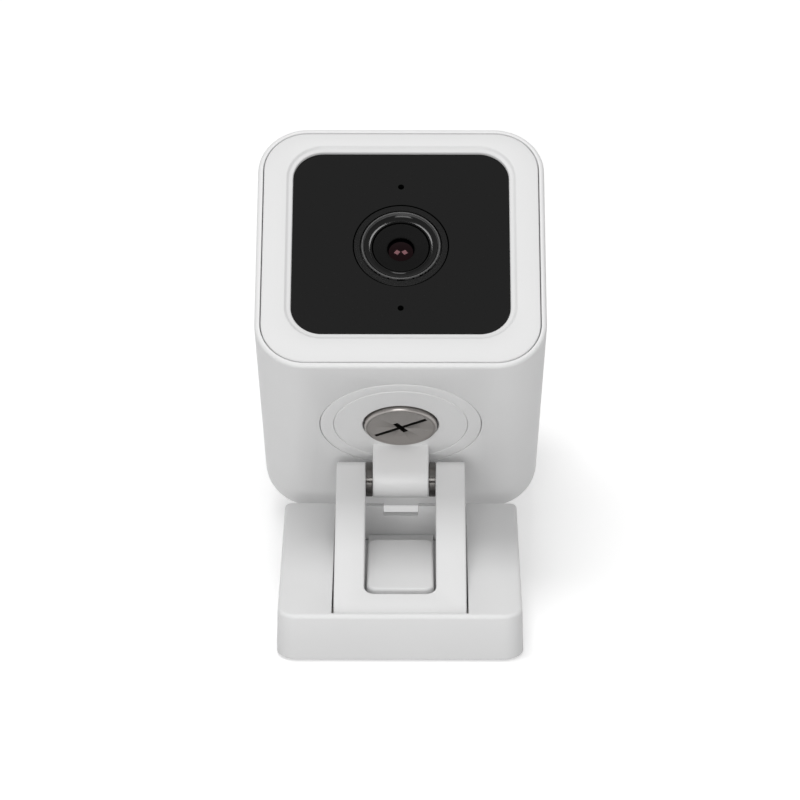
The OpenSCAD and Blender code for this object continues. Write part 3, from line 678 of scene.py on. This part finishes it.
def arm_skin():
    """The forked arm: a bar with round ends carried across its width, with the gap cut out."""
    half_w, half_t = arm_hi[0], arm_hi[2]
    length = arm_hi[1] - half_t
    outline = np.concatenate([arc((0, 0), half_t, 90, 270, 24), arc((length, 0), half_t, -90, 90, 24)])
    obj = make("arm_skin", slab(outline, -half_w, half_w, "x"), ARM)
    gap = round_rect(washer_hi[0] * 2, 2 * length, 1.8, 8, (0, ARM_GAP_START + length))
    combine(obj, [slab(gap, -2 * half_t, 2 * half_t, "z")], ARM)
    soften(obj, 0.35, 3, 50)
    return place_piece(obj, "arm", WHITE_STAND, ["stand_arm"])


def cover_skin():
    """The base cover: a rounded square that widens a little downwards, with a round top edge."""
    low, high = cover_lo[2], cover_hi[2]
    w, d = cover_hi[0] * 2, cover_hi[1] * 2
    top_edge, foot_edge, wall = 0.7, 0.3, 1.3

    def ring(inset, z):
        o = round_rect(w - 2 * inset, d - 2 * inset, max(BASE_CORNER - inset, 0.8), 12,
                       far_radius=max(BASE_BACK_CORNER - inset, 0.4))
        return np.column_stack([o, np.full(len(o), z)])

    def draft(z):
        return BASE_DRAFT * (z - low) / (high - low)

    profile = [(wall, high - 2.0), (wall, low), (foot_edge, low), (0.08, low + 0.08), (0, low + foot_edge)]
    z1 = high - top_edge
    profile += [(draft(z1) + i, z) for i, z in fillet(0, z1, top_edge, high, 6)]
    obj = make("cover_skin", loft([ring(i, z) for i, z in profile]), STAND)
    half = arm_hi[0] + GROOVE_GAP
    y0, y1 = cover_lo[1] + FRONT_LIP, cover_hi[1] - BACK_LIP
    side, end, floor_z = half + wall, 0.6, 1.95
    walls = slab(plan_box(-side, cover_lo[1] + end, side, cover_hi[1] - end), floor_z, high - 1, "z")
    combine(obj, [walls], STAND, "UNION")
    groove = slab(plan_box(-half, y0, half, y1), low - 1, high + 1, "z")
    notch_w, notch_h = NOTCH
    notch = slab(plan_box(-notch_w / 2, y1 - 1, notch_w / 2, cover_hi[1] + 1), high - notch_h, high + 1, "z")
    combine(obj, [groove, notch], STAND)
    soften(obj, 0.18, 3, 50)
    return place_piece(obj, "base", WHITE_STAND, ["base_cover"])


def pad_skin():
    """The raised rest pad: a rounded block with a soft top edge, hollow below, on a shelf behind it."""
    half, rear = pad_hi[0], pad_hi[1]
    length = PAD_LENGTH
    middle = (0, pad_back - length / 2)
    high, low, edge = pad_hi[2], pad_lo[2], 0.55

    def ring(inset, z):
        o = round_rect(2 * half - 2 * inset, length - 2 * inset, max(1.8 - inset, 0.4), 10, middle)
        return np.column_stack([o, np.full(len(o), z)])

    profile = [(1.0, high - 1.0), (1.0, low), (0, low), *fillet(0, high - edge, edge, high, 6).tolist()]
    obj = make("pad_skin", loft([ring(i, z) for i, z in profile]), STAND)
    shelf = plan_box(-half, pad_back - 1.9, half, rear)
    combine(obj, [slab(shelf, low, SHELF_TOP, "z")], STAND, "UNION")
    return place_piece(obj, "base", WHITE_STAND, ["rest_pad"])


for build in (head_skin, bezel_skin, surround_skin, barrel_skin, front_glass, swivel_ring_skin, flap_skin,
              neck_skin, screw_skin, washer_skin, arm_skin, cover_skin, pad_skin):
    build()

for name, node in NODES.items():
    node.data.materials.clear()
    node.data.materials.append(PLAIN[SLOTS[name]])


# ---------------------------------------------------------------- floor, light and camera

# Light levels: the air at the two ends of its axis, the floor's glow, and the lamps in watts.
AIR = (0.39, 0.56)
AIR_AXIS = (-0.45, 0, 0.9)
FLOOR_GLOW = 0.3
KEY_POWER = 4.4
FRONT_POWER = 7.4
GLINT_POWER = 1.3


def studio_floor():
    """A plain white floor, far larger than the view.
    The air from below stands in for the light that it would send up."""
    size = 3.0
    mesh = bpy.data.meshes.new("floor")
    corners = [(x, y, 0) for x, y in plan_box(-size, -size, size, size)]
    mesh.from_pydata(corners, [], [(0, 1, 2, 3)])
    floor = bpy.data.objects.new("floor", mesh)
    bpy.context.scene.collection.objects.link(floor)
    material, tree, principled = finish_of("white_floor", "#f0f0f0", 0.9)
    principled.inputs["Emission Color"].default_value = (1, 1, 1, 1)
    principled.inputs["Emission Strength"].default_value = FLOOR_GLOW
    grain_bump(tree, principled, 4.0, 0.001)
    floor.data.materials.append(material)
    floor.visible_diffuse = False
    floor.visible_shadow = False


def soft_light(name, position, target, size, power):
    """A square lamp that faces its target."""
    light = bpy.data.lights.new(name, "AREA")
    light.energy, light.size = power, size
    obj = bpy.data.objects.new(name, light)
    obj.location = position
    obj.rotation_euler = (Vector(target) - Vector(position)).to_track_quat("-Z", "Y").to_euler()
    bpy.context.scene.collection.objects.link(obj)
    return obj


def camera():
    """A long lens, a little above the object, straight in front of it."""
    position = Vector((0.00207, -0.5965, 0.3089))
    aim = Vector((-0.00007, -0.0008, 0.03991))
    data = bpy.data.cameras.new("camera")
    data.sensor_width, data.lens = 36.0, 168.35
    data.clip_start, data.clip_end = 0.01, 20
    obj = bpy.data.objects.new("camera", data)
    obj.location = position
    obj.rotation_euler = (aim - position).to_track_quat("-Z", "Y").to_euler()
    bpy.context.scene.collection.objects.link(obj)
    bpy.context.scene.camera = obj


def studio_air():
    """Light from all round: dimmer from below and from the right, where less comes back."""
    world = bpy.data.worlds.new("studio")
    world.use_nodes = True
    tree = world.node_tree
    background = tree.nodes["Background"]
    background.inputs["Color"].default_value = (1, 1, 1, 1)
    where = add(tree, "ShaderNodeTexCoord")
    lean = add(tree, "ShaderNodeVectorMath", operation="DOT_PRODUCT")
    tree.links.new(where.outputs["Generated"], lean.inputs[0])
    lean.inputs[1].default_value = AIR_AXIS
    ramp = add(tree, "ShaderNodeMapRange", [("Value", lean.outputs["Value"])])
    for key, value in zip(("From Min", "From Max", "To Min", "To Max"), (-0.6, 0.6, *AIR)):
        ramp.inputs[key].default_value = value
    tree.links.new(ramp.outputs["Result"], background.inputs["Strength"])
    bpy.context.scene.world = world


studio_floor()
# The key lights the white faces and isn't mirrored. The two glints are only mirrored, by the front glass.
key = soft_light("key", (-0.15, 0.02, 1.2), (0, 0, 0.03), 0.5, KEY_POWER)
key.visible_glossy = False
soft_light("front", (-0.12, -1.3, 0.38), (0, 0, 0.03), 0.7, FRONT_POWER)
for side in (-1, 1):
    glint = soft_light(f"glint_{side + 2}", (0.155 * side, -0.16, 1.1), (0, 0.03, 0.06), 0.19, GLINT_POWER)
    glint.visible_diffuse = False
camera()
studio_air()
bpy.context.scene.view_settings.view_transform = "Standard"
